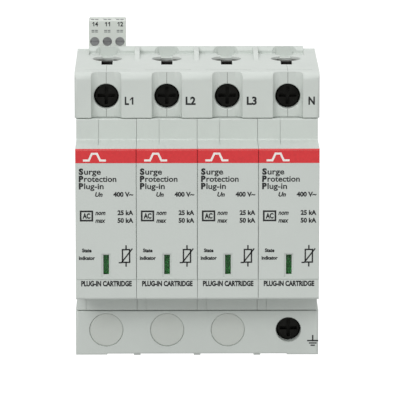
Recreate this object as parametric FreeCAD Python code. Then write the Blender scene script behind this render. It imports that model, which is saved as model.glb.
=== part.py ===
import FreeCAD, Part
import math
import os

# Four-pole pluggable surge protective device for a 35 mm top-hat rail.
# Millimetres. X to the right, +Y to the rear (towards the rail), +Z up.
# Origin: middle of the face that rests on the rail. Depths in front of that
# face are called p, so p = -Y.

V = FreeCAD.Vector

# ------------------------------------------------------------- dimensions
PITCH = 17.8                # pole pitch
BASE_W = 72.0               # base width
CART_W = 17.70              # cartridge width
Z_TOP = 42.3                # top face of the base
Z_BOT = -42.3               # bottom face of the middle shells
Z_BOT_END = -42.6           # bottom face of the two end shells
P_SHOULDER = 44.0           # front of the terminal blocks
P_FACE = 58.9               # front of a cartridge, under its label
LABEL_T = 0.1               # label thickness
P_TOP_REAR = 1.2            # rear of the terminal blocks
P_REAR = -5.8               # rearmost face, behind the rail
Z_REAR_STEP = 26.0          # height where the rear body ends
BAY_TOP = 28.9              # cartridge bay
BAY_BOT = -29.2
BAY_FLOOR = 14.0
Z_FRONT = 22.4              # half height of the cartridge front
Z_SH_TOP = 28.7             # cartridge shoulders
Z_SH_BOT = -29.0
P_NARROW = 24.4             # below this depth a cartridge is narrower
WALL_P = 24.0               # height of the partition walls
WALL_HALF = 0.8             # half thickness of a partition wall
RAIL_HALF = 18.2            # rail channel half height
SEAT_HALF = 15.5            # raised rail seat half height
Z_SCREW = 35.0              # terminal screw axis, upper terminals
Z_SCREW_E = 34.95           # terminal screw axis, earth terminal (below)
Z_PLUGS = 34.95             # blank plug axis (below)
X_PLUGS = (-26.95, -8.9, 9.1)
X_EARTH = 27.1              # earth terminal axis
R_ACCESS = 3.72             # screw access hole
R_WIRE = 4.3                # round wire entry, below its chamfer
R_WIRE_TOP = 4.45
P_WIRE = 17.8
STRIP_H = 1.2               # raised strip along the rear edge of the top face
STRIP_HALF = 32.4
RIM_H = 0.4                 # low rim that carries it on to the two ends
POCKET_H = 0.9              # trough in front of the strip
RIB_HALF = 0.7              # guide ribs on the top face
X_POLES = {"l1": -1.5 * PITCH, "l2": -0.5 * PITCH, "l3": 0.5 * PITCH, "n": 1.5 * PITCH}
SCREW_R = 2.5               # M5 clamp screw
SCREW_PITCH = 0.8
CAGE_TRAVEL = 6.0
CART_PULL = 45.0
FLAG_TRAVEL = 5.9
WIN_Z0, WIN_Z1 = -14.85, -9.0
WIN_X = 0.02
WIN_HALF = 0.84
SIG_X0, SIG_X1 = -32.55, -21.35   # signalling plug
SIG_P0, SIG_P1 = -5.7, 1.0
SIG_TOP = 51.35
SIG_PITCH = 3.81
SIG_SCREW_Z = 44.8
HOLLOW_W = 8.9              # upright hollow in front of an upper terminal
P_HOLLOW = 41.7
Z_LABEL_BOT = -16.25        # lower edge of the front label
STUD_X = 3.6                # signal bar stud, left of each pole's middle


# ---------------------------------------------------------------- helpers
def bx(x0, x1, p0, p1, z0, z1, sg=1):
    """Box from x0..x1, p0..p1, z0..z1; sg = -1 mirrors it in Z."""
    if sg < 0:
        z0, z1 = -z1, -z0
    return Part.makeBox(x1 - x0, p1 - p0, z1 - z0, V(x0, -p1, z0))


def cy(x, z, r, p0, p1, sg=1):
    """Cylinder along Y (front to back)."""
    return Part.makeCylinder(r, p1 - p0, V(x, -p0, sg * z), V(0, -1, 0))


def cone_y(x, z, r0, r1, p0, p1, sg=1):
    return Part.makeCone(r0, r1, p1 - p0, V(x, -p0, sg * z), V(0, -1, 0))


def cz(x, p, r, z0, z1, sg=1):
    """Cylinder along Z."""
    if sg < 0:
        z0, z1 = -z1, -z0
    return Part.makeCylinder(r, z1 - z0, V(x, -p, z0), V(0, 0, 1))


def cx(p, z, r, x0, x1):
    """Cylinder along X."""
    return Part.makeCylinder(r, x1 - x0, V(x0, -p, z), V(1, 0, 0))


def rounded_wire(pts):
    """Closed wire through (vector, radius) corners, each rounded by its radius."""
    n = len(pts)
    starts, ends, mids = [], [], []
    for i in range(n):
        c, r = pts[i]
        a, b = pts[i - 1][0], pts[(i + 1) % n][0]
        u, w = (a - c), (b - c)
        u.normalize()
        w.normalize()
        if r <= 0:
            starts.append(c)
            ends.append(c)
            mids.append(None)
            continue
        half = u.getAngle(w) / 2
        t = r / math.tan(half)
        bis = u + w
        bis.normalize()
        centre = c + bis * (r / math.sin(half))
        starts.append(c + u * t)
        ends.append(c + w * t)
        mids.append(centre - bis * r)
    edges = []
    for i in range(n):
        if mids[i] is not None:
            edges.append(Part.Arc(starts[i], mids[i], ends[i]).toShape())
        a, b = ends[i], starts[(i + 1) % n]
        if (a - b).Length > 1e-6:
            edges.append(Part.LineSegment(a, b).toShape())
    return Part.Wire(edges)


def prism_x(pts, x0, x1):
    """Extrude a (p, z, r) outline along X."""
    w = rounded_wire([(V(x0, -p, z), r) for p, z, r in pts])
    return Part.Face(w).extrude(V(x1 - x0, 0, 0))


def prism_z(pts, z0, z1):
    """Extrude an (x, p, r) outline along Z."""
    w = rounded_wire([(V(x, -p, z0), r) for x, p, r in pts])
    return Part.Face(w).extrude(V(0, 0, z1 - z0))


def prism_y(pts, p0, p1):
    """Extrude an (x, z, r) outline along the depth."""
    w = rounded_wire([(V(x, -p0, z), r) for x, z, r in pts])
    return Part.Face(w).extrude(V(0, -(p1 - p0), 0))


def fuse(first, *rest):
    return first.multiFuse([s for s in rest]).removeSplitter()


os.makedirs("parts", exist_ok=True)
made = {}


def out(name, shape):
    made[name] = shape
    shape.exportStep("parts/" + name + ".step")


# -------------------------------------------------------------------- base
HW = BASE_W / 2


def base_outline(zb):
    return [
        (P_TOP_REAR, Z_TOP, 0.5),
        (P_SHOULDER, Z_TOP, 2.2),
        (P_SHOULDER, BAY_TOP, 0.25),
        (BAY_FLOOR, BAY_TOP, 0),
        (BAY_FLOOR, BAY_BOT, 0),
        (P_SHOULDER, BAY_BOT, 0.25),
        (P_SHOULDER, zb, 0.6),
        (P_TOP_REAR, zb, 0.5),
        (P_TOP_REAR, -Z_REAR_STEP, 0),
        (P_REAR, -Z_REAR_STEP, 0.8),
        (P_REAR, -RAIL_HALF, 0.4),
        (0.4, -RAIL_HALF, 0),
        (0.4, -SEAT_HALF, 0),
        (0.0, -SEAT_HALF, 0),
        (0.0, SEAT_HALF, 0),
        (0.4, SEAT_HALF, 0),
        (0.4, RAIL_HALF, 0),
        (-1.5, RAIL_HALF, 0),
        (-1.5, 16.2, 0),
        (-3.4, 16.2, 0.4),
        (P_REAR, 18.6, 0.4),
        (P_REAR, Z_REAR_STEP, 0.8),
        (P_TOP_REAR, Z_REAR_STEP, 0),
    ]


mid = prism_x(base_outline(Z_BOT), -1.5 * PITCH, 1.5 * PITCH)
left = prism_x(base_outline(Z_BOT_END), -HW, -1.5 * PITCH)
right = prism_x(base_outline(Z_BOT_END), 1.5 * PITCH, HW)
add = []
for k in (-1, 0, 1):            # partition walls between the bays
    add.append(bx(k * PITCH - WALL_HALF, k * PITCH + WALL_HALF, BAY_FLOOR - 1, WALL_P, BAY_BOT - 1, BAY_TOP + 1))
    # guide rib on the top face, sloping down to the front
    add.append(prism_x([(1.9, Z_TOP - 1.2, 0), (1.9, Z_TOP + 1.15, 0.2), (12.0, Z_TOP + 1.5, 1.5), (20.6, Z_TOP, 0), (20.6, Z_TOP - 1.2, 0)],
                       k * PITCH - RIB_HALF, k * PITCH + RIB_HALF))
    # small foot rib under the lower block
    add.append(prism_x([(26, Z_BOT + 0.5, 0), (26, Z_BOT, 0), (28.5, Z_BOT - 0.65, 0.4), (42.6, Z_BOT - 0.65, 0.5), (43.6, Z_BOT, 0), (43.6, Z_BOT + 0.5, 0)],
                       k * PITCH - 1.0, k * PITCH + 1.0))
def strip(x0, x1, h):
    """Strip of height h with a sloping front, along the rear edge of the top face."""
    return prism_x([(P_TOP_REAR, Z_TOP - 1, 0), (P_TOP_REAR, Z_TOP + h, 0.15), (P_TOP_REAR + 0.6, Z_TOP + h, 0.15), (2.9 if h > 1 else 2.1, Z_TOP, 0), (2.9 if h > 1 else 2.1, Z_TOP - 1, 0)], x0, x1)


mid = fuse(mid, *([a for a in add] + [strip(-1.5 * PITCH, 1.5 * PITCH, STRIP_H)]))
end_wall = 1.2
left = fuse(left, bx(-HW, -HW + end_wall, BAY_FLOOR - 1, WALL_P, BAY_BOT - 1, BAY_TOP + 1),
            strip(-STRIP_HALF, -1.5 * PITCH, STRIP_H), strip(-HW, -STRIP_HALF, RIM_H))
right = fuse(right, bx(HW - end_wall, HW, BAY_FLOOR - 1, WALL_P, BAY_BOT - 1, BAY_TOP + 1),
             strip(1.5 * PITCH, STRIP_HALF, STRIP_H), strip(STRIP_HALF, HW, RIM_H))
# softened vertical edges of the two end faces
soft = prism_z([(-HW, P_REAR - 1, 0), (HW, P_REAR - 1, 0), (HW, P_SHOULDER, 0.9), (-HW, P_SHOULDER, 0.9)], -60, 60)
left = left.common(soft)
right = right.common(soft)

cuts = []


def terminal_cuts(x, zs, sg, hollow=True):
    """Everything that one screw terminal takes out of the base."""
    c = []
    if hollow:
        # upright hollow in the front face, open at the top and at the bottom
        h = HOLLOW_W / 2
        c.append(prism_z([(x - h, P_SHOULDER + 2, 0), (x - h, P_HOLLOW, 2.1), (x + h, P_HOLLOW, 2.1), (x + h, P_SHOULDER + 2, 0)], BAY_TOP - 2, Z_TOP + 3))
        c.append(cone_y(x, zs, R_ACCESS, R_ACCESS + 0.25, P_HOLLOW - 0.25, P_HOLLOW + 0.01, sg))
        c.append(cy(x, zs, R_ACCESS + 0.25, P_HOLLOW, P_SHOULDER + 1, sg))
    else:
        c.append(cone_y(x, zs, R_ACCESS, R_ACCESS + 0.2, P_SHOULDER - 0.2, P_SHOULDER + 0.01, sg))
    c.append(cy(x, zs, R_ACCESS, 37.0, P_SHOULDER + 1, sg))
    c.append(cy(x, zs, 4.35, 32.5, 37.6, sg))
    # cage chamber, with a higher roof round the wire entry
    c.append(bx(x - 5.2, x + 5.2, 6.0, 32.6, 30.3, 40.8, sg))
    c.append(bx(x - 4.9, x + 4.9, 12.6, 24.6, 40.7, 41.45, sg))
    # round wire entry with a wide chamfer, and a narrow slot for a fork or comb bar
    c.append(cz(x, P_WIRE, R_WIRE, 40.0, 42.0, sg))
    r2 = R_WIRE_TOP + (R_WIRE_TOP - R_WIRE) / (Z_TOP - 41.45) * 1.0
    c.append(Part.makeCone(R_WIRE, r2, Z_TOP + 1.0 - 41.45, V(x, -P_WIRE, sg * 41.45), V(0, 0, sg)))
    c.append(bx(x - 1.68, x + 1.68, 7.75, 28.6, 40.0, 47.0, sg))
    if hollow:
        # U-shaped chute from the strip down to the entry, with a deeper middle
        c.append(prism_z([(x - 3.75, 1.85, 1.5), (x - 3.75, 6.5, 1.2), (x - 1.68, 12.2, 0), (x + 1.68, 12.2, 0), (x + 3.75, 6.5, 1.2), (x + 3.75, 1.85, 1.5)], 41.45, 46.0))
        c.append(prism_y([(x - 2.9, 41.5, 0), (x + 2.9, 41.5, 0), (x + 1.68, 40.55, 0), (x - 1.68, 40.55, 0)], 1.85, 8.0))
    else:
        c.append(Part.makeCone(1.62, 4.63, 3.9, V(x, -7.75, sg * 40.7), V(0, 0, sg)))
    # channel for the contact bar's leg
    c.append(bx(x - 3.1, x + 3.1, 3.2, 23.1, 29.5, 30.9, sg))
    return c


for name, x in X_POLES.items():
    cuts += terminal_cuts(x, Z_SCREW, 1)
    cuts.append(bx(x - 3.3, x + 3.3, 3.2, BAY_FLOOR + 1, 16.8, 24.7))            # line contact pocket
    cuts.append(bx(x - 3.1, x + 3.1, 3.2, 4.6, 24.6, 29.6))
    cuts.append(bx(x - 3.3, x + 3.3, 3.2, BAY_FLOOR + 1, -24.7, -16.8))          # earth contact pocket
    cuts.append(bx(x - STUD_X - 1.3, x - STUD_X + 1.3, 10.0, BAY_FLOOR + 1, -1.3, 3.4))  # slot for a signal bar stud
for x in X_PLUGS:
    cuts.append(cy(x, Z_PLUGS, 5.07, 41.2, P_SHOULDER + 1, -1))
    cuts.append(cy(x, Z_PLUGS, 3.7, 37.0, 41.3, -1))
    cuts.append(bx(x - 5.2, x + 5.2, 8.0, 37.1, 30.6, 40.4, -1))                 # empty chamber behind a plug
cuts += terminal_cuts(X_EARTH, Z_SCREW_E, -1, False)
cuts.append(bx(X_EARTH - 3.1, X_EARTH + 3.1, 3.2, 4.6, -29.6, -24.6))
cuts.append(bx(-30.2, 30.4, 3.2, 4.6, -28.1, -24.3))                              # earth busbar channel
cuts.append(bx(-32.4, 32.4, 7.3, 10.2, -3.2, 5.4))                                # signal bar channel
cuts.append(bx(-33.2, -20.3, 4.8, 11.2, 8.2, 14.8))                               # microswitch chamber
cuts.append(bx(-30.5, -28.9, 7.3, 9.5, 5.3, 8.3))
# trough in front of the strip, between the ribs, and a fine line near the front edge
edges = [-STRIP_HALF, -PITCH - RIB_HALF, -PITCH + RIB_HALF, -RIB_HALF, RIB_HALF, PITCH - RIB_HALF, PITCH + RIB_HALF, STRIP_HALF]
for x0, x1 in zip(edges[::2], edges[1::2]):
    cuts.append(prism_x([(2.9, Z_TOP + 0.02, 0), (2.9, Z_TOP - POCKET_H, 0.2), (4.6, Z_TOP - POCKET_H, 0.4), (11.2, Z_TOP + 0.02, 0)], x0, x1))
for x in X_POLES.values():
    cuts.append(bx(x - 6.4, x + 7.2, 37.7, 38.1, Z_TOP - 0.3, Z_TOP + 1))
# seams between the shells show as fine grooves
for name, x in X_POLES.items():
    cuts.append(bx(x - 0.06, x + 0.06, P_HOLLOW - 0.15, 44.2, BAY_TOP - 1, Z_TOP - 0.1))

RIVETS = [(3.4, 34.0, 1.1), (40.0, 30.25, 0.75), (3.4, -34.0, 1.1), (39.6, -30.45, 0.75)]
for p, z, r in RIVETS:
    cuts.append(cx(p, z, r + 0.02, -HW - 1, HW + 1))
    for s in (-1, 1):
        a, b = sorted((s * (HW - 0.9), s * (HW + 1)))
        cuts.append(cx(p, z, r + 0.37 if r < 1 else r + 0.92, a, b))

CLIP_X = (-PITCH, PITCH)
for x in CLIP_X:
    cuts.append(bx(x - 5.2, x + 5.2, -4.8, -1.4, -30, -17.0))
    cuts.append(bx(x - 4.2, x + 4.2, -7.0, -4.7, -30, -17.0))

tool = cuts[0].multiFuse(cuts[1:])
seams = [-1.5 * PITCH, -0.5 * PITCH, 0.5 * PITCH, 1.5 * PITCH]
left = left.cut(tool)
right = right.cut(tool)
mid = mid.cut(tool)
out("base_left_shell", left)
for i, nm in enumerate(("base_shell_l1_l2", "base_shell_l2_l3", "base_shell_l3_n")):
    out(nm, mid.common(bx(seams[i], seams[i + 1], -20, 70, -60, 60)))
out("base_right_shell", right)

rivets = []
for p, z, r in RIVETS:
    s = cx(p, z, r, -HW + 0.35, HW - 0.35)
    hr = r + 0.35 if r < 1 else r + 0.9
    for sgn in (-1, 1):
        a, b = sorted((sgn * (HW - 0.9), sgn * (HW - 0.2)))
        s = s.fuse(cx(p, z, hr, a, b))
    s = s.cut(cx(p, z, r * 0.5, HW - 0.6, HW))
    s = s.cut(cx(p, z, r * 0.5, -HW, -HW + 0.6))
    rivets.append(s.removeSplitter())
out("tie_rivets", Part.Compound(rivets))

plugs = []
for x in X_PLUGS:
    d = cy(x, Z_PLUGS, 5.04, 41.3, 43.7, -1)
    d = d.makeChamfer(0.25, [e for e in d.Edges if abs(e.BoundBox.YMin + 43.7) < 1e-6 and e.BoundBox.YLength < 1e-6 and len(e.Vertexes) == 1])
    ring = cy(x, Z_PLUGS, 3.64, 37.4, 41.4, -1).cut(cy(x, Z_PLUGS, 2.7, 37.0, 41.0, -1))
    plugs.append(d.fuse(ring).removeSplitter())
out("blank_plugs", Part.Compound(plugs))


# ------------------------------------------------------------------ contacts
def fork(x, z0, z1):
    """Sprung fork that grips a plug-in blade 1.2 thick."""
    a = bx(x - 1.5, x - 0.68, 3.3, 13.2, z0, z1)
    b = bx(x + 0.68, x + 1.5, 3.3, 13.2, z0, z1)
    # flared mouths
    a = a.cut(prism_z([(x - 0.68 + 0.001, 13.3, 0), (x - 0.68 + 0.001, 12.2, 0), (x - 1.25, 13.3, 0)], z0 - 1, z1 + 1))
    b = b.cut(prism_z([(x + 0.68 - 0.001, 13.3, 0), (x + 0.68 - 0.001, 12.2, 0), (x + 1.25, 13.3, 0)], z0 - 1, z1 + 1))
    back = bx(x - 1.5, x + 1.5, 3.3, 4.5, z0, z1)
    return [a, b, back]


def bar(x, sg):
    """Leg and clamping bar of a terminal, inside the cage."""
    return [
        bx(x - 3.0, x + 3.0, 3.3, 22.9, 29.6, 30.8, sg),
        bx(x - 3.2, x + 3.2, 21.5, 22.9, 30.7, 38.2, sg),
    ]


line = []
for name, x in X_POLES.items():
    f = fork(x, 17.0, 24.5)
    f += bar(x, 1)
    f.append(bx(x - 3.0, x + 3.0, 3.3, 4.5, 24.4, 29.7))
    line.append(fuse(f[0], *f[1:]))
out("line_contacts", Part.Compound(line))
e = []
for name, x in X_POLES.items():
    e += fork(x, -24.5, -17.0)
e.append(bx(-29.7, X_EARTH + 3.0, 3.3, 4.5, -28.0, -24.4))
e += bar(X_EARTH, -1)
e.append(bx(X_EARTH - 3.0, X_EARTH + 3.0, 3.3, 4.5, -29.7, -27.9))
out("earth_busbar", fuse(e[0], *e[1:]))


# ------------------------------------------------------- screws and cages
def clamp_screw(x, zs, sg, p1):
    """Captive screw: broad collar, head that reaches up the access hole to p1, cross slots."""
    head = cy(x, zs, 3.55, 36.0, p1, sg)
    head = head.makeChamfer(0.4, [ed for ed in head.Edges if abs(ed.BoundBox.YMin + p1) < 1e-6 and ed.BoundBox.YLength < 1e-6 and len(ed.Vertexes) == 1])
    head = head.fuse(cy(x, zs, 4.1, 33.0, 36.6, sg))
    shank = cy(x, zs, SCREW_R, 23.0, 33.1, sg)
    s = head.fuse(shank)
    z = sg * zs
    s = s.cut(bx(x - 2.6, x + 2.6, p1 - 2.0, p1 + 1, z - 0.5, z + 0.5).fuse(bx(x - 0.5, x + 0.5, p1 - 2.0, p1 + 1, z - 2.6, z + 2.6)))
    return s.removeSplitter()


def cage(x, zs, sg):
    """Rectangular lift cage: threaded front plate, clamping rear plate, two sides."""
    o = prism_z([(x - 5.0, 6.8, 0.8), (x + 5.0, 6.8, 0.8), (x + 5.0, 25.4, 0.5), (x - 5.0, 25.4, 0.5)], *((31.2, 39.5) if sg > 0 else (-39.5, -31.2)))
    o = o.cut(bx(x - 4.1, x + 4.1, 8.2, 23.2, 30, 42, sg))
    o = o.cut(cy(x, zs, SCREW_R + 0.05, 22.0, 27.0, sg))
    # grip teeth on the clamping plate
    for k in range(4):
        z = 32.4 + 1.7 * k
        o = o.fuse(prism_x([(8.1, z, 0), (8.6, z + 0.4, 0), (8.1, z + 0.8, 0)] if sg > 0 else [(8.1, -z, 0), (8.6, -z - 0.4, 0), (8.1, -z - 0.8, 0)], x - 3.4, x + 3.4))
    return o.removeSplitter()


for name, x in X_POLES.items():
    out(name + "_terminal_screw", clamp_screw(x, Z_SCREW, 1, 39.7))
    out(name + "_terminal_cage", cage(x, Z_SCREW, 1))
out("earth_terminal_screw", clamp_screw(X_EARTH, Z_SCREW_E, -1, 41.4))
out("earth_terminal_cage", cage(X_EARTH, Z_SCREW_E, -1))


# -------------------------------------------------------------- cartridges
def cartridge(name, x):
    hw = CART_W / 2
    xl = x - hw
    outer = prism_x([
        (P_NARROW, Z_SH_TOP, 0), (P_SHOULDER, Z_SH_TOP, 0.4), (P_SHOULDER, Z_FRONT, 0.4), (P_FACE, Z_FRONT, 0.35),
        (P_FACE, -Z_FRONT, 0.7), (P_SHOULDER, -Z_FRONT, 0.4), (P_SHOULDER, Z_SH_BOT, 0.4), (P_NARROW, Z_SH_BOT, 0)], x - hw, x + hw)
    outer = outer.common(prism_z([(x - hw, P_NARROW - 1, 0), (x + hw, P_NARROW - 1, 0), (x + hw, P_FACE, 0.12), (x - hw, P_FACE, 0.12)], -40, 40))
    foot = prism_x([(BAY_FLOOR + 0.3, 28.2, 1.0), (P_NARROW + 0.2, 28.2, 0), (P_NARROW + 0.2, -28.5, 0), (BAY_FLOOR + 0.3, -28.5, 1.0)], x - 7.9, x + 7.9)
    shell = outer.fuse(foot).removeSplitter()
    cav = fuse(bx(x - 7.5, x + 7.5, 25.8, 57.5, -21.4, 21.2),
               bx(x - 7.5, x + 7.5, 25.8, 42.7, -27.7, 27.4),
               bx(x - 6.7, x + 6.7, 15.8, 26.0, -27.2, 26.9))
    shell = shell.cut(cav)
    # window, and the blades' slots
    shell = shell.cut(bx(x + WIN_X - WIN_HALF, x + WIN_X + WIN_HALF, 57, 60, WIN_Z0, WIN_Z1))
    # shallow bezel round the window
    shell = shell.cut(prism_y([(x + WIN_X - 1.3, WIN_Z0 - 0.95, 0.4), (x + WIN_X + 1.3, WIN_Z0 - 0.95, 0.4), (x + WIN_X + 1.3, WIN_Z1 + 0.35, 0.15), (x + WIN_X - 1.3, WIN_Z1 + 0.35, 0.15)], P_FACE - 0.25, P_FACE + 1))
    for z0 in (17.6, -24.0):
        shell = shell.cut(bx(x - 0.62, x + 0.62, 14, 16, z0 - 0.02, z0 + 6.42))
    side = fuse(bx(xl - 1, xl + 2.65, 10, 62, -40, 40), bx(xl + 2.6, xl + 6.6, 43.2, 51.6, 20.0, 40))
    # fine groove along the joint between the two mouldings
    # fine groove across the front under the label
    shell = shell.cut(bx(x - hw - 1, x + hw + 1, P_FACE - 0.15, P_FACE + 1, Z_LABEL_BOT - 0.22, Z_LABEL_BOT - 0.02))
    seam = fuse(bx(xl + 2.65 - 0.06, xl + 2.65 + 0.06, 43.75, 45, Z_SH_BOT - 1, -Z_FRONT),
                bx(xl + 6.6 - 0.06, xl + 6.6 + 0.06, 43.75, 45, Z_FRONT, Z_SH_TOP + 1),
                bx(xl + 6.6 - 0.08, xl + 6.6 + 0.08, 44.0, 51.6, Z_FRONT - 0.3, Z_FRONT + 1))
    shell = shell.cut(seam)
    cover = shell.common(side)
    body = shell.cut(side)
    out(name + "_cartridge_housing", body.removeSplitter())
    out(name + "_cartridge_side_cover", cover.removeSplitter())
    # varistor block
    out(name + "_varistor", prism_x([(19.5, 17.0, 2), (53.5, 17.0, 2), (53.5, -17.0, 2), (19.5, -17.0, 2)], x - 6.5, x + 2.6))
    # plug-in blades, each with a foot inside the housing
    blades = []
    for z0 in (17.6, -24.0):
        b = prism_x([(5.2, z0 + 0.8, 0), (5.2, z0 + 5.6, 0), (6.2, z0 + 6.4, 0.4), (18.6, z0 + 6.4, 0.3), (18.6, z0, 0.3), (6.2, z0, 0.4)], x - 0.6, x + 0.6)
        b = b.fuse(bx(x - 2.6, x + 2.9, 15.85, 17.1, z0 + 0.5, z0 + 5.9))
        blades.append(b.removeSplitter())
    out(name + "_plug_blades", Part.Compound(blades))
    # thermal disconnect spring strip
    sp = fuse(bx(x + 3.2, x + 3.7, 17.2, 41.0, -23.2, -18.4), bx(x + 3.2, x + 3.7, 36.0, 41.0, -18.5, 4.0), bx(x + 2.6, x + 3.6, 36.0, 41.0, 2.0, 4.0),
              bx(x + 0.65, x + 3.7, 17.2, 17.8, -23.2, -18.4))
    out(name + "_disconnect_spring", sp)
    # status flag: front plate, ear and stem
    fl = fuse(bx(x - 1.2, x + 1.4, 55.2, 56.4, -15.3, -2.7), bx(x + 1.3, x + 5.9, 55.2, 56.4, -6.0, -2.7), bx(x + 4.5, x + 5.9, 44.0, 55.3, -6.0, -2.7))
    out(name + "_status_flag", fl)
    # window lens with a flange behind the wall
    ln = fuse(bx(x + WIN_X - WIN_HALF + 0.05, x + WIN_X + WIN_HALF - 0.05, 57.2, 58.45, WIN_Z0 + 0.05, WIN_Z1 - 0.05), bx(x + WIN_X - 1.5, x + WIN_X + 1.5, 56.75, 57.45, WIN_Z0 - 0.6, WIN_Z1 + 0.6))
    out(name + "_window_lens", ln)
    # front label
    lb = prism_y([(x - hw + 0.14, Z_LABEL_BOT, 0.15), (x + hw - 0.14, Z_LABEL_BOT, 0.15), (x + hw - 0.14, Z_FRONT - 0.35, 0.15), (x - hw + 0.14, Z_FRONT - 0.35, 0.15)], P_FACE, P_FACE + LABEL_T)
    lb = lb.cut(prism_y([(x + WIN_X - 1.33, WIN_Z0 - 0.98, 0.4), (x + WIN_X + 1.33, WIN_Z0 - 0.98, 0.4), (x + WIN_X + 1.33, WIN_Z1 + 0.38, 0.15), (x + WIN_X - 1.33, WIN_Z1 + 0.38, 0.15)], P_FACE - 1, P_FACE + 1))
    out(name + "_front_label", lb)


for name, x in X_POLES.items():
    cartridge(name, x)

# ------------------------------------------------------------- rail clips
for nm, x in (("rail_clip_left", CLIP_X[0]), ("rail_clip_right", CLIP_X[1])):
    c = prism_x([(-1.6, -16.4, 0), (-2.6, -16.4, 0), (-4.6, -18.4, 0), (-4.6, -46.6, 0.5), (-1.6, -46.6, 0.5)], x - 5.0, x + 5.0)
    c = c.fuse(bx(x - 4.0, x + 4.0, -5.6, -4.5, -46.6, -19.4))
    c = c.cut(bx(x - 2.6, x + 2.6, -6, -1, -45.1, -43.4))           # screwdriver eye
    for k in range(4):                                              # grip ribs
        c = c.cut(bx(x - 3.2, x + 3.2, -6, -5.2, -40.6 + 2.2 * k, -39.6 + 2.2 * k))
    out(nm, c.removeSplitter())

# ------------------------------------------------------------- signalling
sx = (SIG_X0 + SIG_X1) / 2
PINS = [sx - SIG_PITCH, sx, sx + SIG_PITCH]
Z_HEAD0, Z_HEAD1 = Z_REAR_STEP, 38.6
head = bx(SIG_X0 + 0.05, SIG_X1 - 0.05, SIG_P0 + 0.1, P_TOP_REAR, Z_HEAD0, Z_HEAD1)
head = head.cut(bx(SIG_X0 + 0.95, SIG_X1 - 0.95, SIG_P0 + 1.1, 0.15, 29.2, 50))
pins = []
for px in PINS:
    head = head.cut(bx(px - 0.4, px + 0.4, -2.7, -1.9, 26.8, 29.3))
    pins.append(bx(px - 0.4, px + 0.4, -2.7, -1.9, 26.8, 37.4))
out("signal_header", Part.Compound([head.removeSplitter()] + pins))

plug = bx(SIG_X0, SIG_X1, SIG_P0, SIG_P1, 38.7, SIG_TOP)
plug = plug.makeChamfer(0.3, [ed for ed in plug.Edges if ed.BoundBox.ZMin > SIG_TOP - 0.001])
plug = plug.fuse(bx(SIG_X0 + 1.25, SIG_X1 - 1.25, SIG_P0 + 1.4, -0.15, 30.4, 38.8))
for px in PINS:
    plug = plug.cut(bx(px - 0.7, px + 0.7, -3.0, -1.6, 30.0, 38.2))                     # pin slots
    plug = plug.cut(cy(px, SIG_SCREW_Z, 1.4, -1.8, 1.5))                                      # screw wells
    # square wire entries with sloped lips on the top
    plug = plug.cut(bx(px - 1.15, px + 1.15, -4.2, -1.9, 42.6, 52.0))
    plug = plug.cut(prism_x([(-4.6, SIG_TOP + 0.1, 0), (-1.5, SIG_TOP + 0.1, 0), (-1.9, SIG_TOP - 0.5, 0), (-4.2, SIG_TOP - 0.5, 0)], px - 1.4, px + 1.4))
out("signal_plug", plug.removeSplitter())
for i, px in enumerate(PINS):
    s = cy(px, SIG_SCREW_Z, 1.33, -0.9, 0.4).fuse(cy(px, SIG_SCREW_Z, 0.9, -1.75, -0.8))
    s = s.cut(bx(px - 1.5, px + 1.5, -0.1, 0.5, SIG_SCREW_Z - 0.2, SIG_SCREW_Z + 0.2))
    out("signal_plug_screw_%d" % (i + 1), s.removeSplitter())

ms = fuse(bx(-33.0, -20.5, 5.0, 11.0, 8.4, 14.6), cz(-29.7, 8.4, 0.7, 7.4, 8.5))
out("microswitch", ms)
sb = bx(-32.0, 32.0, 7.5, 10.0, -3.0, 3.0)
for name, x in X_POLES.items():
    sb = sb.fuse(cy(x - STUD_X, 0.0, 1.0, 9.9, 13.5))
    sb = sb.cut(bx(x - 1.5, x + 4.5, 7.0, 10.5, -1.6, 1.6))                             # lightening windows
out("signal_bar", sb.removeSplitter())

tot = 0.0
for k in sorted(made):
    s = made[k]
    bb = s.BoundBox
    print("%-26s solids %d valid %s vol %9.2f  x %.2f..%.2f y %.2f..%.2f z %.2f..%.2f" % (k, len(s.Solids), s.isValid(), s.Volume, bb.XMin, bb.XMax, bb.YMin, bb.YMax, bb.ZMin, bb.ZMax))
print(len(made), "nodes")
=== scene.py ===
import math

import bpy
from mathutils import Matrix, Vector


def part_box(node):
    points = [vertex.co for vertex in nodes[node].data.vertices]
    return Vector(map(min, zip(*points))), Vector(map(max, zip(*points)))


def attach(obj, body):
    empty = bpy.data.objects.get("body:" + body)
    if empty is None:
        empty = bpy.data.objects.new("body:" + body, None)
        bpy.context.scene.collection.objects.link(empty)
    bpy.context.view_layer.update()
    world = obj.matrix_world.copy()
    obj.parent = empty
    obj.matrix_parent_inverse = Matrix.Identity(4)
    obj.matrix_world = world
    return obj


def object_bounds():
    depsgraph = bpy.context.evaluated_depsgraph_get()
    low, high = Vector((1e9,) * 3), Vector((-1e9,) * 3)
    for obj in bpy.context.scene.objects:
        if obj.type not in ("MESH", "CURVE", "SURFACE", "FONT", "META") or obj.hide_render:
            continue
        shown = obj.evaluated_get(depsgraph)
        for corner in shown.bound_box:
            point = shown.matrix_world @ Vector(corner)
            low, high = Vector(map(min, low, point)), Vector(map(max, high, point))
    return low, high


# Four-pole pluggable surge protective device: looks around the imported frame.
# Metres, row frame: X right, +Y to the rear (rail side), +Z up.

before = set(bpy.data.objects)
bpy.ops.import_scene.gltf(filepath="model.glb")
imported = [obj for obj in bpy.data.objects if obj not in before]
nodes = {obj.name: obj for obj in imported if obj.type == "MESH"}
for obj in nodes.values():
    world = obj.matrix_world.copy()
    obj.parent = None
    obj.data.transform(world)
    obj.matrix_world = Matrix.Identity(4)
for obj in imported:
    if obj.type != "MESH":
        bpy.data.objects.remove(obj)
cad_lo, cad_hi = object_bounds()
scene = bpy.context.scene
scene.view_settings.view_transform = "Standard"
scene.view_settings.look = "None"
MM = 0.001

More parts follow.
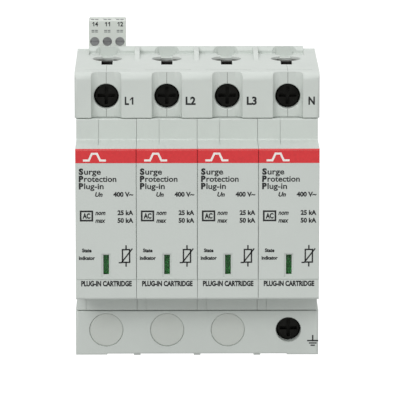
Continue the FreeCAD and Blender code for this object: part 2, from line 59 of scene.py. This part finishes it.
POLES = {"l1": -26.7, "l2": -8.9, "l3": 8.9, "n": 26.7}
P_SHOULDER = 44.0
P_LABEL = -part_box("l1_front_label")[0].y / MM       # front of a label
P_FRONT = -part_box("l1_cartridge_housing")[0].y / MM  # front of a cartridge
HALF_W = 8.85


# --------------------------------------------------------------- materials
def lin(c):
    return tuple(((v / 255) / 12.92 if v / 255 <= 0.04045 else ((v / 255 + 0.055) / 1.055) ** 2.4) for v in c)


def new_material(name):
    m = bpy.data.materials.new(name)
    m.use_nodes = True
    nt = m.node_tree
    return m, nt, nt.nodes["Principled BSDF"]


def noise(nt, coord, scale, detail=3.0, rough=0.55):
    n = nt.nodes.new("ShaderNodeTexNoise")
    n.inputs["Scale"].default_value = scale
    n.inputs["Detail"].default_value = detail
    n.inputs["Roughness"].default_value = rough
    nt.links.new(coord, n.inputs["Vector"])
    return n


def ramp(nt, fac, stops):
    r = nt.nodes.new("ShaderNodeValToRGB")
    el = r.color_ramp.elements
    el[0].position, el[0].color = stops[0][0], (*stops[0][1], 1)
    el[1].position, el[1].color = stops[-1][0], (*stops[-1][1], 1)
    for pos, col in stops[1:-1]:
        e = el.new(pos)
        e.color = (*col, 1)
    nt.links.new(fac, r.inputs["Fac"])
    return r


def coords(nt):
    t = nt.nodes.new("ShaderNodeTexCoord")
    return t.outputs["Object"]


def bump_chain(nt, bsdf, coord, layers):
    """layers: (scale, strength, distance in metres)"""
    last = None
    for scale, strength, dist in layers:
        n = noise(nt, coord, scale, 2.0)
        b = nt.nodes.new("ShaderNodeBump")
        b.inputs["Strength"].default_value = strength
        b.inputs["Distance"].default_value = dist
        nt.links.new(n.outputs["Fac"], b.inputs["Height"])
        if last is not None:
            nt.links.new(last.outputs["Normal"], b.inputs["Normal"])
        last = b
    nt.links.new(last.outputs["Normal"], bsdf.inputs["Normal"])


def vary(c, k):
    return tuple(max(0.0, min(1.0, v * k)) for v in c)


def plastic(name, colour, rough=0.42, var=0.02, grain=3600.0, grain_h=0.5, wave_h=0.3, sss=0.0, spec=0.45):
    """Moulded thermoplastic: faint cloudy tone, fine spark-eroded grain, very slight sink waviness."""
    m, nt, b = new_material(name)
    co = coords(nt)
    col = lin(colour)
    n1 = noise(nt, co, 90.0, 4.0)
    r1 = ramp(nt, n1.outputs["Fac"], [(0.30, vary(col, 1 - var)), (0.5, col), (0.72, vary(col, 1 + var * 0.8))])
    n2 = noise(nt, co, 2600.0, 2.0)
    mix = nt.nodes.new("ShaderNodeMix")
    mix.data_type = "RGBA"
    mix.blend_type = "MULTIPLY"
    mix.inputs["Factor"].default_value = 1.0
    r2 = ramp(nt, n2.outputs["Fac"], [(0.25, (0.985,) * 3), (0.75, (1.0,) * 3)])
    nt.links.new(r1.outputs["Color"], mix.inputs["A"])
    nt.links.new(r2.outputs["Color"], mix.inputs["B"])
    nt.links.new(mix.outputs["Result"], b.inputs["Base Color"])
    n3 = noise(nt, co, 260.0, 3.0)
    r3 = ramp(nt, n3.outputs["Fac"], [(0.3, (rough - 0.05,) * 3), (0.7, (rough + 0.06,) * 3)])
    nt.links.new(r3.outputs["Color"], b.inputs["Roughness"])
    b.inputs["Specular IOR Level"].default_value = spec
    if sss:
        b.inputs["Subsurface Weight"].default_value = sss
        b.inputs["Subsurface Scale"].default_value = 0.0012
        b.inputs["Subsurface Radius"].default_value = (1.0, 0.9, 0.8)
    bump_chain(nt, b, co, [(150.0, wave_h, 0.00004), (grain, grain_h, 0.000012)])
    return m


def compare(nt, value, threshold, greater):
    n = nt.nodes.new("ShaderNodeMath")
    n.operation = "GREATER_THAN" if greater else "LESS_THAN"
    n.inputs[1].default_value = threshold
    nt.links.new(value, n.inputs[0])
    return n.outputs[0]


def band_on_edges(m, colour, z0, z1, p_min):
    """Carries the printed band over the small radii of the front edges: heights z0..z1, in front of depth p_min."""
    nt = m.node_tree
    b = nt.nodes["Principled BSDF"]
    old = b.inputs["Base Color"].links[0].from_socket
    sep = nt.nodes.new("ShaderNodeSeparateXYZ")
    nt.links.new(coords(nt), sep.inputs["Vector"])
    fac = None
    for val, th, gt in ((sep.outputs["Z"], z0 * MM, True), (sep.outputs["Z"], z1 * MM, False), (sep.outputs["Y"], -p_min * MM, False)):
        o = compare(nt, val, th, gt)
        if fac is None:
            fac = o
            continue
        k = nt.nodes.new("ShaderNodeMath")
        k.operation = "MULTIPLY"
        nt.links.new(fac, k.inputs[0])
        nt.links.new(o, k.inputs[1])
        fac = k.outputs[0]
    n = noise(nt, coords(nt), 1500.0, 3.0)
    r = ramp(nt, n.outputs["Fac"], [(0.3, vary(lin(colour), 0.93)), (0.7, vary(lin(colour), 1.05))])
    mix = nt.nodes.new("ShaderNodeMix")
    mix.data_type = "RGBA"
    nt.links.new(fac, mix.inputs["Factor"])
    nt.links.new(old, mix.inputs["A"])
    nt.links.new(r.outputs["Color"], mix.inputs["B"])
    nt.links.new(mix.outputs["Result"], b.inputs["Base Color"])


def metal(name, colour, rough=0.3, var=0.12, brushed=None, aniso=0.0, dark=0.35):
    m, nt, b = new_material(name)
    co = coords(nt)
    col = lin(colour)
    mp = nt.nodes.new("ShaderNodeMapping")
    mp.inputs["Scale"].default_value = brushed or (1, 1, 1)
    nt.links.new(co, mp.inputs["Vector"])
    n1 = noise(nt, mp.outputs["Vector"], 700.0, 5.0, 0.6)
    n0 = noise(nt, co, 180.0, 4.0)
    r1 = ramp(nt, n0.outputs["Fac"], [(0.28, vary(col, 1 - var)), (0.55, col), (0.8, vary(col, 1 + var * 0.5))])
    nt.links.new(r1.outputs["Color"], b.inputs["Base Color"])
    r2 = ramp(nt, n1.outputs["Fac"], [(0.3, (max(0.05, rough - 0.1),) * 3), (0.75, (min(1.0, rough + 0.16),) * 3)])
    nt.links.new(r2.outputs["Color"], b.inputs["Roughness"])
    b.inputs["Metallic"].default_value = 1.0
    bm = nt.nodes.new("ShaderNodeBump")
    bm.inputs["Strength"].default_value = 0.25
    bm.inputs["Distance"].default_value = 0.00002
    nt.links.new(n1.outputs["Fac"], bm.inputs["Height"])
    nt.links.new(bm.outputs["Normal"], b.inputs["Normal"])
    return m


def ink(name, colour, rough=0.5):
    """Pad-printed ink: nearly even, with a slightly mottled lay-down."""
    m, nt, b = new_material(name)
    co = coords(nt)
    col = lin(colour)
    n = noise(nt, co, 1500.0, 3.0)
    r = ramp(nt, n.outputs["Fac"], [(0.3, vary(col, 0.93)), (0.7, vary(col, 1.05))])
    nt.links.new(r.outputs["Color"], b.inputs["Base Color"])
    n3 = noise(nt, co, 700.0, 2.0)
    r3 = ramp(nt, n3.outputs["Fac"], [(0.3, (rough - 0.06,) * 3), (0.7, (rough + 0.06,) * 3)])
    nt.links.new(r3.outputs["Color"], b.inputs["Roughness"])
    b.inputs["Specular IOR Level"].default_value = 0.4
    bump_chain(nt, b, co, [(2200.0, 0.3, 0.000006)])
    return m


def flag_material():
    """Two-colour status flag: the lower part is green, the upper part red."""
    m, nt, b = new_material("status_flag_two_colour")
    co = coords(nt)
    sep = nt.nodes.new("ShaderNodeSeparateXYZ")
    nt.links.new(co, sep.inputs["Vector"])
    mr = nt.nodes.new("ShaderNodeMapRange")
    mr.inputs["From Min"].default_value = -9.02 * MM
    mr.inputs["From Max"].default_value = -8.98 * MM
    nt.links.new(sep.outputs["Z"], mr.inputs["Value"])
    n = noise(nt, co, 900.0, 3.0)
    g, r_ = lin((48, 142, 62)), lin((205, 40, 44))
    rg = ramp(nt, n.outputs["Fac"], [(0.3, vary(g, 0.9)), (0.7, vary(g, 1.1))])
    rr = ramp(nt, n.outputs["Fac"], [(0.3, vary(r_, 0.92)), (0.7, vary(r_, 1.06))])
    mix = nt.nodes.new("ShaderNodeMix")
    mix.data_type = "RGBA"
    nt.links.new(mr.outputs["Result"], mix.inputs["Factor"])
    nt.links.new(rg.outputs["Color"], mix.inputs["A"])
    nt.links.new(rr.outputs["Color"], mix.inputs["B"])
    nt.links.new(mix.outputs["Result"], b.inputs["Base Color"])
    b.inputs["Roughness"].default_value = 0.45
    bump_chain(nt, b, co, [(3000.0, 0.3, 0.00001)])
    return m


def lens_material():
    m, nt, b = new_material("window_lens_clear")
    co = coords(nt)
    n = noise(nt, co, 300.0, 2.0)
    r = ramp(nt, n.outputs["Fac"], [(0.3, (0.90, 0.93, 0.91)), (0.7, (0.95, 0.97, 0.96))])
    nt.links.new(r.outputs["Color"], b.inputs["Base Color"])
    b.inputs["Roughness"].default_value = 0.10
    b.inputs["Transmission Weight"].default_value = 1.0
    b.inputs["IOR"].default_value = 1.2
    bump_chain(nt, b, co, [(200.0, 0.15, 0.00002)])
    return m


GREY = (206, 212, 207)
M = {}
M["base"] = plastic("housing_grey", GREY, rough=0.46)
M["cart"] = plastic("cartridge_grey", GREY, rough=0.44, grain=4200.0)
M["label"] = plastic("label_film", GREY, rough=0.40, var=0.012, grain=5200.0, grain_h=0.25, wave_h=0.15, spec=0.4)
M["plug"] = plastic("blank_plug_grey", (202, 207, 201), rough=0.5, grain=3000.0, grain_h=0.8)
M["signal"] = plastic("signal_grey", (212, 217, 211), rough=0.42)
M["header"] = plastic("header_grey", (200, 205, 200), rough=0.45)
M["clip"] = plastic("clip_dark_grey", (74, 78, 80), rough=0.5, grain=2600.0, grain_h=0.8)
M["switch"] = plastic("switch_black", (34, 35, 38), rough=0.4)
M["bar"] = plastic("signal_bar_natural", (228, 222, 206), rough=0.4)
M["varistor"] = plastic("varistor_epoxy", (28, 62, 120), rough=0.34, var=0.06, grain=1400.0, grain_h=1.0)
M["copper"] = metal("contact_copper", (196, 120, 84), rough=0.32, brushed=(1, 6, 1))
M["tin"] = metal("blade_tinned", (186, 188, 188), rough=0.34, brushed=(1, 8, 1))
M["bronze"] = metal("spring_bronze", (190, 140, 84), rough=0.3, brushed=(1, 1, 6))
M["screw"] = metal("terminal_screw_dark", (38, 38, 36), rough=0.40, var=0.35)
M["cage"] = metal("terminal_cage_dark", (66, 66, 64), rough=0.42, brushed=(1, 5, 1))
M["rivet"] = metal("rivet_steel", (150, 151, 153), rough=0.36)
M["sigscrew"] = metal("signal_screw_steel", (160, 160, 162), rough=0.35)
M["flag"] = flag_material()
M["lens"] = lens_material()
RED = (220, 55, 59)
M["red"] = ink("print_red", RED, rough=0.45)
band_on_edges(M["cart"], RED, 18.3, 22.6, 58.2)
M["black"] = ink("print_black", (30, 32, 33), rough=0.5)
M["grey"] = ink("print_grey", (104, 108, 108), rough=0.5)
# seam_shadow: dark grey for the plates set into the shell gaps, painted shade of the gap's depth
M["seam"] = ink("seam_shadow", (120, 124, 120), rough=0.8)
M["white"] = ink("print_white", (244, 243, 238), rough=0.45)


def paint(name, mat):
    o = nodes[name]
    if not o.data.materials:
        o.data.materials.append(mat)
    for s in o.material_slots:
        s.material = mat


def soften(name, width=0.00012, angle=38.0, segments=2):
    """Small radius on every sharp edge, as a mould leaves it."""
    o = nodes[name]
    w = o.modifiers.new("weld", "WELD")
    w.merge_threshold = 2e-6
    b = o.modifiers.new("edge_radius", "BEVEL")
    b.width = width
    b.segments = segments
    b.limit_method = "ANGLE"
    b.angle_limit = math.radians(angle)
    b.use_clamp_overlap = True
    b.harden_normals = False
    b.miter_outer = "MITER_ARC"


for n in nodes:
    if n.startswith("base_"):
        paint(n, M["base"])
    elif n.endswith(("cartridge_housing", "cartridge_side_cover")):
        paint(n, M["cart"])
    elif n.endswith("front_label"):
        paint(n, M["label"])
    elif n == "blank_plugs":
        paint(n, M["plug"])
    elif n == "signal_plug":
        paint(n, M["signal"])
    elif n == "signal_header":
        paint(n, M["header"])
    elif n.startswith("rail_clip"):
        paint(n, M["clip"])
    elif n == "microswitch":
        paint(n, M["switch"])
    elif n == "signal_bar":
        paint(n, M["bar"])
    elif n.endswith("varistor"):
        paint(n, M["varistor"])
    elif n in ("line_contacts", "earth_busbar"):
        paint(n, M["copper"])
    elif n.endswith("plug_blades"):
        paint(n, M["tin"])
    elif n.endswith("disconnect_spring"):
        paint(n, M["bronze"])
    elif n.startswith("signal_plug_screw"):
        paint(n, M["sigscrew"])
    elif n.endswith("terminal_screw"):
        paint(n, M["screw"])
    elif n.endswith("terminal_cage"):
        paint(n, M["cage"])
    elif n == "tie_rivets":
        paint(n, M["rivet"])
    elif n.endswith("status_flag"):
        paint(n, M["flag"])
    elif n.endswith("window_lens"):
        paint(n, M["lens"])
    else:
        raise RuntimeError("no finish for " + n)


# ------------------------------------------------------------------ prints
def mesh_object(name, verts, faces, mat):
    me = bpy.data.meshes.new(name)
    me.from_pydata([tuple(c) for c in verts], [], faces)
    me.validate()
    me.update()
    me.materials.append(mat)
    o = bpy.data.objects.new(name, me)
    scene.collection.objects.link(o)
    return o


class Print:
    """Flat printed marks, gathered as thin closed plates on a face that looks forward (-Y).
    Marks are given as x, z in millimetres on that face."""

    def __init__(self, p, thick=0.02):
        self.p, self.t = p, thick
        self.v, self.f = [], []

    def add(self, verts, faces):
        k = len(self.v)
        self.v += verts
        self.f += [tuple(i + k for i in f) for f in faces]

    def poly(self, pts):
        """Convex outline, counter-clockwise as seen from the front."""
        n = len(pts)
        y0, y1 = -(self.p - 0.01) * MM, -(self.p + self.t) * MM
        v = [(x * MM, y1, z * MM) for x, z in pts] + [(x * MM, y0, z * MM) for x, z in pts]
        f = [tuple(range(n)), tuple(range(2 * n - 1, n - 1, -1))]
        for i in range(n):
            j = (i + 1) % n
            f.append((i, i + n, j + n, j))
        self.add(v, f)

    def rect(self, x0, x1, z0, z1):
        self.poly([(x0, z0), (x1, z0), (x1, z1), (x0, z1)])

    def line(self, a, b, w):
        (x0, z0), (x1, z1) = a, b
        d = math.hypot(x1 - x0, z1 - z0)
        ux, uz = (x1 - x0) / d * w / 2, (z1 - z0) / d * w / 2
        self.poly([(x0 - ux + uz, z0 - uz - ux), (x1 + ux + uz, z1 + uz - ux), (x1 + ux - uz, z1 + uz + ux), (x0 - ux - uz, z0 - uz + ux)])

    def path(self, pts, w, closed=False):
        """One mitred stroke of width w through the points."""
        n = len(pts)
        left, right = [], []
        for i, (x, z) in enumerate(pts):
            ds = []
            if i > 0 or closed:
                ds.append((x - pts[i - 1][0], z - pts[i - 1][1]))
            if i < n - 1 or closed:
                q = pts[(i + 1) % n]
                ds.append((q[0] - x, q[1] - z))
            ds = [(a / math.hypot(a, b), b / math.hypot(a, b)) for a, b in ds]
            nx, nz = sum(-b for a, b in ds), sum(a for a, b in ds)
            k = math.hypot(nx, nz)
            nx, nz = nx / k, nz / k
            h = w / 2 / max(0.35, nx * -ds[0][1] + nz * ds[0][0])
            left.append((x + nx * h, z + nz * h))
            right.append((x - nx * h, z - nz * h))
        y0, y1 = -(self.p - 0.01) * MM, -(self.p + self.t) * MM
        v, f = [], []
        for i in range(n):
            for (x, z), y in ((right[i], y1), (left[i], y1), (right[i], y0), (left[i], y0)):
                v.append((x * MM, y, z * MM))
        last = n if closed else n - 1
        for i in range(last):
            a, b = 4 * i, 4 * ((i + 1) % n)
            f.append((a, b, b + 1, a + 1))
            f.append((a + 3, b + 3, b + 2, a + 2))
            f.append((a, a + 2, b + 2, b))
            f.append((b + 1, b + 3, a + 3, a + 1))
        if not closed:
            b = 4 * (n - 1)
            f.append((b, b + 2, b + 3, b + 1))
            f.append((1, 3, 2, 0))
        self.add(v, f)

    def frame_rect(self, x0, x1, z0, z1, w):
        h = w / 2
        self.path([(x0 + h, z0 + h), (x1 - h, z0 + h), (x1 - h, z1 - h), (x0 + h, z1 - h)], w, True)

    def text(self, s, x0, z0, height, width=None, bold=0.0, slant=0.0, align="LEFT"):
        """s with its baseline at z0 and capital height in mm; width stretches it to fit."""
        cu = bpy.data.curves.new("t", "FONT")
        cu.body = s
        cu.size = 1.0
        cu.align_x = "LEFT"
        cu.extrude = 0.01
        cu.offset = bold
        cu.shear = slant
        cu.resolution_u = 3
        ob = bpy.data.objects.new("t", cu)
        scene.collection.objects.link(ob)
        dg = bpy.context.evaluated_depsgraph_get()
        me = bpy.data.meshes.new_from_object(ob.evaluated_get(dg))
        xs = [v.co.x for v in me.vertices]
        lo, hi = min(xs), max(xs)
        k = height / CAP
        kx = k if width is None else width / (hi - lo)
        span = (hi - lo) * kx
        if align == "CENTER":
            x0 = x0 - span / 2
        elif align == "RIGHT":
            x0 = x0 - span
        y0, y1 = -(self.p - 0.01) * MM, -(self.p + self.t) * MM
        verts = [((x0 + (v.co.x - lo) * kx) * MM, y1 if v.co.z > 0 else y0, (z0 + v.co.y * k) * MM) for v in me.vertices]
        self.add(verts, [tuple(p.vertices) for p in me.polygons])
        bpy.data.objects.remove(ob)
        bpy.data.curves.remove(cu)
        bpy.data.meshes.remove(me)

    def done(self, name, mat, body):
        o = mesh_object(name, self.v, self.f, mat)
        me = o.data
        w = o.modifiers.new("weld", "WELD")
        w.merge_threshold = 1e-7
        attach(o, body)
        return o


def cap_height():
    cu = bpy.data.curves.new("t", "FONT")
    cu.body = "H"
    cu.size = 1.0
    ob = bpy.data.objects.new("t", cu)
    scene.collection.objects.link(ob)
    dg = bpy.context.evaluated_depsgraph_get()
    me = bpy.data.meshes.new_from_object(ob.evaluated_get(dg))
    h = max(v.co.y for v in me.vertices)
    bpy.data.objects.remove(ob)
    bpy.data.curves.remove(cu)
    bpy.data.meshes.remove(me)
    return h


CAP = cap_height()

for pole, cx in POLES.items():
    body = pole + "_cartridge"
    # red band
    band = Print(P_LABEL, 0.02)
    band.rect(cx - HALF_W + 0.14, cx + HALF_W - 0.14, 18.3, 22.05)
    band.done(pole + "_label_band", M["red"], body)
    # pictogram on the band: a surge spike clipped by a bar
    pic = Print(P_LABEL + 0.02, 0.02)
    zc = 19.1
    pic.path([(cx - 6.6, zc), (cx - 4.9, zc), (cx - 4.0, zc + 2.0), (cx - 2.5, zc + 2.0), (cx - 1.6, zc), (cx + 0.1, zc)], 0.6)
    pic.done(pole + "_label_pictogram", M["white"], body)
    # black print
    k = Print(P_LABEL, 0.015)
    for word, z, w in (("Surge", 14.95, 6.5), ("Protection", 12.8, 11.0), ("Plug-in", 10.65, 7.3)):
        k.text(word[0], cx - 7.85, z, 1.65, width=1.35, bold=0.058)
        k.text(word[1:], cx - 6.3, z, 1.65, width=w - 1.6, bold=0.022)
    k.text("Un", cx - 3.1, 8.4, 1.25, width=2.2, slant=0.25, bold=0.04)
    k.text("400 V~", cx + 8.0, 8.4, 1.28, width=5.8, align="RIGHT", bold=0.045)
    k.frame_rect(cx - 7.6, cx - 3.7, 1.0, 4.25, 0.5)
    k.text("AC", cx - 5.65, 1.9, 1.45, width=2.3, align="CENTER", bold=0.05)
    k.text("nom", cx - 3.1, 2.95, 1.3, width=3.0, slant=0.25, bold=0.036)
    k.text("25 kA", cx + 8.0, 2.95, 1.28, width=4.6, align="RIGHT", bold=0.045)
    k.text("max", cx - 3.1, 0.65, 1.3, width=3.0, slant=0.25, bold=0.036)
    k.text("50 kA", cx + 8.0, 0.65, 1.28, width=4.6, align="RIGHT", bold=0.045)
    k.text("State", cx - 5.6, -8.15, 1.0, width=2.8, align="CENTER", bold=0.05)
    k.text("indicator", cx - 5.6, -10.4, 1.0, width=4.7, align="CENTER", bold=0.05)
    # varistor symbol with its lead-out: box crossed by a bent line
    k.frame_rect(cx + 4.6, cx + 7.1, -11.4, -7.2, 0.42)
    k.path([(cx + 3.7, -11.3), (cx + 4.5, -11.3), (cx + 7.7, -7.1)], 0.4)
    k.line((cx + 5.85, -7.2), (cx + 5.85, -6.3), 0.42)
    k.line((cx + 5.85, -11.4), (cx + 5.85, -12.3), 0.42)
    k.done(pole + "_label_print", M["black"], body)
    k = Print(P_FRONT, 0.015)
    k.text("PLUG-IN CARTRIDGE", cx + 0.1, -18.3, 1.42, width=14.8, align="CENTER", bold=0.05)
    k.done(pole + "_front_print", M["black"], body)

# terminal marks on the front of the base
b = Print(P_SHOULDER, 0.015)


def one(pr, x, z, h, t):
    """Digit 1 with a flag, right edge at x, foot at z."""
    pr.rect(x - t, x, z, z + h)
    pr.poly([(x - t, z + h), (x - t - 0.26 * h, z + 0.72 * h), (x - t - 0.26 * h, z + 0.72 * h - t * 0.9), (x - t, z + h - t * 1.1)])


b.text("L", -21.25, 32.95, 2.2, width=1.25, bold=0.04)
one(b, -18.7, 32.95, 2.2, 0.46)
for word, xc, w in (("L2", -1.9, 2.95), ("L3", 16.05, 2.95), ("N", 33.65, 1.9)):
    b.text(word, xc, 32.95, 2.2, width=w, align="CENTER", bold=0.04)
ex, ez = 34.35, -38.3
b.line((ex, ez + 1.5), (ex, ez), 0.42)
b.line((ex - 1.45, ez), (ex + 1.45, ez), 0.42)
b.line((ex - 0.95, ez - 0.72), (ex + 0.95, ez - 0.72), 0.38)
b.line((ex - 0.45, ez - 1.4), (ex + 0.45, ez - 1.4), 0.38)
b.done("terminal_marks", M["black"], "base")

# folded lip along the rear plate of each clamp cage
for pole, cx in list(POLES.items()):
    x0, x1, zt = cx - 3.6, cx + 3.6, 39.98
    prof = [(6.95, 39.4), (6.95, zt - 0.12), (7.07, zt), (7.9, zt), (8.15, zt - 0.25), (8.15, 39.4)]
    n = len(prof)
    v = [(x0 * MM, -p * MM, z * MM) for p, z in prof] + [(x1 * MM, -p * MM, z * MM) for p, z in prof]
    f = [tuple(range(n)), tuple(range(2 * n - 1, n - 1, -1))] + [(i, i + n, (i + 1) % n + n, (i + 1) % n) for i in range(n)]
    o = mesh_object(pole + "_cage_lip", v, f, M["cage"])
    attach(o, pole + "_cage")

# contact numbers and small marks on the signalling plug
lo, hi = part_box("signal_plug")
xs = (lo.x + hi.x) / 2 / MM
p_sig = -lo.y / MM
s = Print(p_sig, 0.012)
for word, dx in (("4", -3.81), ("", 0.0), ("2", 3.81)):
    one(s, xs + dx - 0.12, 49.5, 1.3, 0.28)
    if word:
        s.text(word, xs + dx + 0.1, 49.5, 1.3, width=0.9, bold=0.03)
    else:
        one(s, xs + dx + 0.85, 49.5, 1.3, 0.28)
s.done("signal_numbers", M["black"], "signal_plug")
s = Print(p_sig, 0.012)
for dx in (-3.81, 0.0, 3.81):
    for m in (-1, 1):                       # a pair of short dashes over each clamp
        s.line((xs + dx + m * 0.22, 48.25), (xs + dx + m * 0.82, 48.25), 0.26)
        s.line((xs + dx + m * 0.22, 47.75), (xs + dx + m * 0.82, 47.75), 0.26)
s.done("signal_symbols", M["grey"], "signal_plug")


def plate(name, x0, x1, p0, p1, z0, z1, mat, body):
    """Thin closed plate, in millimetres."""
    v = [(x * MM, -p * MM, z * MM) for x in (x0, x1) for p in (p1, p0) for z in (z0, z1)]
    f = [(0, 4, 5, 1), (2, 3, 7, 6), (0, 2, 6, 4), (1, 5, 7, 3), (0, 1, 3, 2), (4, 6, 7, 5)]
    o = mesh_object(name, v, f, mat)
    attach(o, body)
    return o


# release marks on top of the signalling plug
for i, dx in enumerate((-3.81, 0.0, 3.81)):
    for j, m in enumerate((-0.62, 0.62)):
        plate("signal_top_mark_%d%d" % (i, j), xs + dx + m - 0.5, xs + dx + m + 0.5, -1.3, 0.3, 51.34, 51.362, M["grey"], "signal_plug")
# parting line between the shells: dark plates in the hollows and on the top edge, painted shade standing in for the
# depth of the gap
for pole, cx in POLES.items():
    plate(pole + "_seam_gap_shade_low", cx - 0.07, cx + 0.07, 41.6, 41.71, 29.0, 31.2, M["seam"], "base")
    plate(pole + "_seam_gap_shade_high", cx - 0.07, cx + 0.07, 41.6, 41.71, 38.85, 42.1, M["seam"], "base")
    if pole in ("l1", "n"):
        plate(pole + "_seam_gap_shade_top", cx - 0.045, cx + 0.045, 28.8, 41.6, 42.25, 42.306, M["seam"], "base")

for n in nodes:
    if n.startswith("base_"):
        soften(n, 0.00008)
    elif n.endswith(("cartridge_housing", "cartridge_side_cover")):
        soften(n, 0.00008)
    elif n.startswith("rail_clip") or n in ("signal_plug", "signal_header", "blank_plugs"):
        soften(n, 0.0001)
    elif n.endswith(("terminal_screw", "terminal_cage")):
        soften(n, 0.0001)

# ------------------------------------------------------------ floor, light
floor_z = cad_lo.z - 0.110
size = 6.0
fl = mesh_object("floor", [(-size, -size, floor_z), (size, -size, floor_z), (size, size, floor_z), (-size, size, floor_z)], [(0, 1, 2, 3)], None)
m, nt, bs = new_material("floor_white")
co = coords(nt)
nn = noise(nt, co, 3.0, 2.0)
seen = ramp(nt, nn.outputs["Fac"], [(0.3, (0.93, 0.93, 0.93)), (0.7, (0.945, 0.945, 0.945))])
bounce = ramp(nt, nn.outputs["Fac"], [(0.3, (0.50, 0.50, 0.50)), (0.7, (0.51, 0.51, 0.51))])
lp = nt.nodes.new("ShaderNodeLightPath")
mx = nt.nodes.new("ShaderNodeMix")
mx.data_type = "RGBA"
nt.links.new(lp.outputs["Is Camera Ray"], mx.inputs["Factor"])
nt.links.new(bounce.outputs["Color"], mx.inputs["A"])
nt.links.new(seen.outputs["Color"], mx.inputs["B"])
nt.links.new(mx.outputs["Result"], bs.inputs["Base Color"])
bs.inputs["Roughness"].default_value = 1.0
bs.inputs["Specular IOR Level"].default_value = 0.0
bs.inputs["Emission Color"].default_value = (1.0, 1.0, 1.0, 1)
glow = nt.nodes.new("ShaderNodeMath")
glow.operation = "MULTIPLY"
glow.inputs[1].default_value = 0.15
nt.links.new(lp.outputs["Is Camera Ray"], glow.inputs[0])
nt.links.new(glow.outputs[0], bs.inputs["Emission Strength"])
fl.data.materials.clear()
fl.data.materials.append(m)

w = bpy.data.worlds.new("studio")
scene.world = w
w.use_nodes = True
bg = w.node_tree.nodes["Background"]
bg.inputs["Color"].default_value = (1.0, 1.0, 1.0, 1)
bg.inputs["Strength"].default_value = 0.635
wall = w.node_tree.nodes.new("ShaderNodeBackground")      # what shows behind the object above the floor
wall.inputs["Color"].default_value = (1.0, 1.0, 1.0, 1)
wall.inputs["Strength"].default_value = 1.0
lp = w.node_tree.nodes.new("ShaderNodeLightPath")
ms = w.node_tree.nodes.new("ShaderNodeMixShader")
w.node_tree.links.new(lp.outputs["Is Camera Ray"], ms.inputs["Fac"])
w.node_tree.links.new(bg.outputs["Background"], ms.inputs[1])
w.node_tree.links.new(wall.outputs["Background"], ms.inputs[2])
w.node_tree.links.new(ms.outputs["Shader"], w.node_tree.nodes["World Output"].inputs["Surface"])


def sun(name, az, el, energy, angle, colour=(1, 1, 1)):
    """az 0 shines from the front, 90 from the right."""
    l = bpy.data.lights.new(name, "SUN")
    l.energy = energy
    l.angle = math.radians(angle)
    l.color = colour
    o = bpy.data.objects.new(name, l)
    a, e = math.radians(az), math.radians(el)
    d = Vector((math.sin(a) * math.cos(e), -math.cos(a) * math.cos(e), math.sin(e)))
    o.rotation_mode = "QUATERNION"
    o.rotation_quaternion = d.to_track_quat("Z", "Y")
    o.location = d * 1.0
    scene.collection.objects.link(o)
    return o


sun("key", -4, 75, 0.69, 50)
sun("front", -20, 29, 0.86, 22)
sun("back", 180, 50, 0.35, 50)

# ----------------------------------------------------------------- camera
AIM = Vector((0.75, -59.0, 7.35)) * MM
DIST, ELEV, YAW, PX = 1.200, 11.30, -0.40, 3.432     # PX: pixels per mm at the aim
cam_d = bpy.data.cameras.new("camera")
cam_d.sensor_width = 36.0
cam_d.sensor_fit = "HORIZONTAL"
cam_d.lens = 36.0 * DIST / (400.0 / PX * MM)
cam_d.clip_start, cam_d.clip_end = 0.05, 50
cam_o = bpy.data.objects.new("camera", cam_d)
scene.collection.objects.link(cam_o)
e, y = math.radians(ELEV), math.radians(YAW)
d = Vector((math.sin(y) * math.cos(e), -math.cos(y) * math.cos(e), math.sin(e)))
cam_o.location = AIM + d * DIST
cam_o.rotation_mode = "QUATERNION"
cam_o.rotation_quaternion = (-d).to_track_quat("-Z", "Y")
scene.camera = cam_o

bpy.context.view_layer.update()
